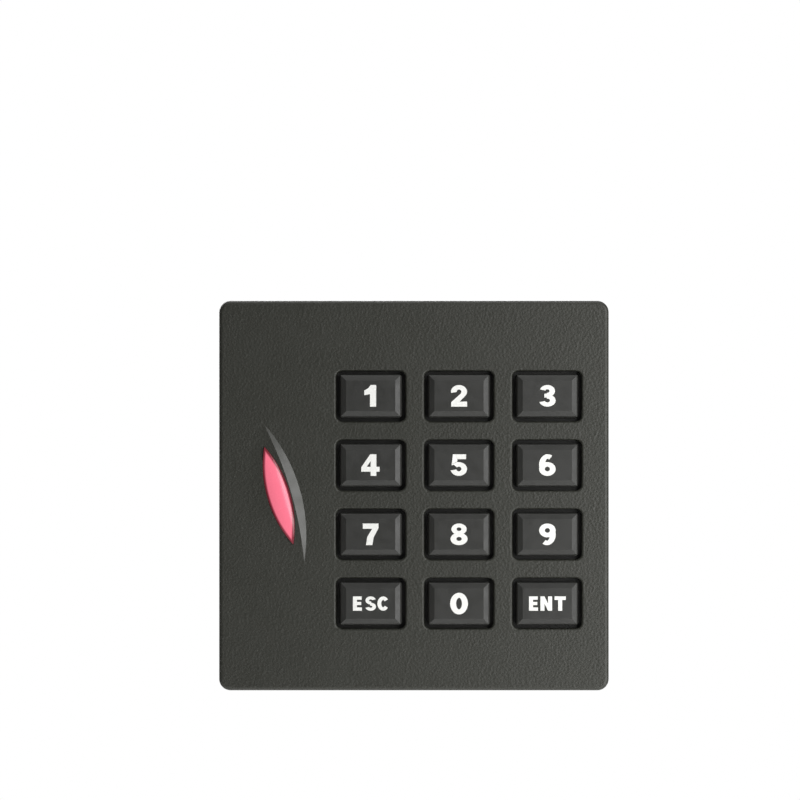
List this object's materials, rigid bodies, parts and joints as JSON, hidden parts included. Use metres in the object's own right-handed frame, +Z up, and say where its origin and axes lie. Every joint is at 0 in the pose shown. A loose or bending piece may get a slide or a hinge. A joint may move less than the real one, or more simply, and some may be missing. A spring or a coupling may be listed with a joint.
{
  "type": "keypad access reader",
  "caption": "Square wall-mounted access card reader with a numeric keypad of push keys, a leaf-shaped status light, and a back plate for a wall box.",
  "frame": {"origin": "centre of the two wall box screws, on the wall", "axes": "+Y into the wall, -Y towards the user, +Z up, +X to the right as the user sees it"},
  "size_m": [0.086, 0.0203, 0.086],
  "materials": {
    "housing": "fine leather grain, spark-eroded",
    "back_plastic": "fine matte",
    "key_plastic": "satin with fine grain",
    "legend_white": "white second shot, satin",
    "light_window": "clear red polycarbonate, domed",
    "silicone": "soft grey silicone",
    "board": "green solder mask",
    "gold_pads": "gold plated",
    "led_red": "diffused red",
    "led_green": "diffused green",
    "chip_black": "moulded epoxy",
    "metal_can": "bright nickel",
    "capacitor_can": "drawn aluminium",
    "ceramic_chips": "fired ceramic",
    "connector_nylon": "natural nylon",
    "plated_pins": "tin-gold plated",
    "copper_wire": "enamelled copper",
    "screw_steel": "zinc plated",
    "soft_rubber": "moulded rubber"
  },
  "bodies": {
    "housing": {"front_cover": "housing", "led_lens": "light_window", "keypad_mat": "silicone", "circuit_board": "board", "contact_pads": "gold_pads", "red_led": "led_red", "green_led": "led_green", "microcontroller": "chip_black", "reader_chip": "chip_black", "voltage_regulator": "chip_black", "crystal": "metal_can", "capacitors": "capacitor_can", "resistors": "ceramic_chips", "buzzer": "chip_black", "buzzer_terminals": "metal_can", "wire_header": "connector_nylon", "header_pins": "plated_pins", "antenna_coil": "copper_wire", "coil_leads": "copper_wire", "board_screws": "screw_steel", "gasket": "soft_rubber", "rear_cover": "back_plastic", "cable_grommet": "soft_rubber", "case_screws": "screw_steel", "wall_plate": "back_plastic", "lock_screw": "screw_steel"},
    "key_1_body": {"key_1": "key_plastic", "legend_1": "legend_white"},
    "key_2_body": {"key_2": "key_plastic", "legend_2": "legend_white"},
    "key_3_body": {"key_3": "key_plastic", "legend_3": "legend_white"},
    "key_4_body": {"key_4": "key_plastic", "legend_4": "legend_white"},
    "key_5_body": {"key_5": "key_plastic", "legend_5": "legend_white"},
    "key_6_body": {"key_6": "key_plastic", "legend_6": "legend_white"},
    "key_7_body": {"key_7": "key_plastic", "legend_7": "legend_white"},
    "key_8_body": {"key_8": "key_plastic", "legend_8": "legend_white"},
    "key_9_body": {"key_9": "key_plastic", "legend_9": "legend_white"},
    "key_esc_body": {"key_esc": "key_plastic", "legend_esc": "legend_white"},
    "key_0_body": {"key_0": "key_plastic", "legend_0": "legend_white"},
    "key_ent_body": {"key_ent": "key_plastic", "legend_ent": "legend_white"}
  },
  "joints": [
    {"name": "key_1_press", "type": "slide", "parent": "housing", "child": "key_1_body", "axis": [0, 1, 0], "range_m": [0, 0.001], "stiffness_N_per_m": 1000, "springref_m": -0.0005, "deforming": ["keypad_mat"]},
    {"name": "key_2_press", "type": "slide", "parent": "housing", "child": "key_2_body", "axis": [0, 1, 0], "range_m": [0, 0.001], "stiffness_N_per_m": 1000, "springref_m": -0.0005, "deforming": ["keypad_mat"]},
    {"name": "key_3_press", "type": "slide", "parent": "housing", "child": "key_3_body", "axis": [0, 1, 0], "range_m": [0, 0.001], "stiffness_N_per_m": 1000, "springref_m": -0.0005, "deforming": ["keypad_mat"]},
    {"name": "key_4_press", "type": "slide", "parent": "housing", "child": "key_4_body", "axis": [0, 1, 0], "range_m": [0, 0.001], "stiffness_N_per_m": 1000, "springref_m": -0.0005, "deforming": ["keypad_mat"]},
    {"name": "key_5_press", "type": "slide", "parent": "housing", "child": "key_5_body", "axis": [0, 1, 0], "range_m": [0, 0.001], "stiffness_N_per_m": 1000, "springref_m": -0.0005, "deforming": ["keypad_mat"]},
    {"name": "key_6_press", "type": "slide", "parent": "housing", "child": "key_6_body", "axis": [0, 1, 0], "range_m": [0, 0.001], "stiffness_N_per_m": 1000, "springref_m": -0.0005, "deforming": ["keypad_mat"]},
    {"name": "key_7_press", "type": "slide", "parent": "housing", "child": "key_7_body", "axis": [0, 1, 0], "range_m": [0, 0.001], "stiffness_N_per_m": 1000, "springref_m": -0.0005, "deforming": ["keypad_mat"]},
    {"name": "key_8_press", "type": "slide", "parent": "housing", "child": "key_8_body", "axis": [0, 1, 0], "range_m": [0, 0.001], "stiffness_N_per_m": 1000, "springref_m": -0.0005, "deforming": ["keypad_mat"]},
    {"name": "key_9_press", "type": "slide", "parent": "housing", "child": "key_9_body", "axis": [0, 1, 0], "range_m": [0, 0.001], "stiffness_N_per_m": 1000, "springref_m": -0.0005, "deforming": ["keypad_mat"]},
    {"name": "key_esc_press", "type": "slide", "parent": "housing", "child": "key_esc_body", "axis": [0, 1, 0], "range_m": [0, 0.001], "stiffness_N_per_m": 1000, "springref_m": -0.0005, "deforming": ["keypad_mat"]},
    {"name": "key_0_press", "type": "slide", "parent": "housing", "child": "key_0_body", "axis": [0, 1, 0], "range_m": [0, 0.001], "stiffness_N_per_m": 1000, "springref_m": -0.0005, "deforming": ["keypad_mat"]},
    {"name": "key_ent_press", "type": "slide", "parent": "housing", "child": "key_ent_body", "axis": [0, 1, 0], "range_m": [0, 0.001], "stiffness_N_per_m": 1000, "springref_m": -0.0005, "deforming": ["keypad_mat"]}
  ]
}
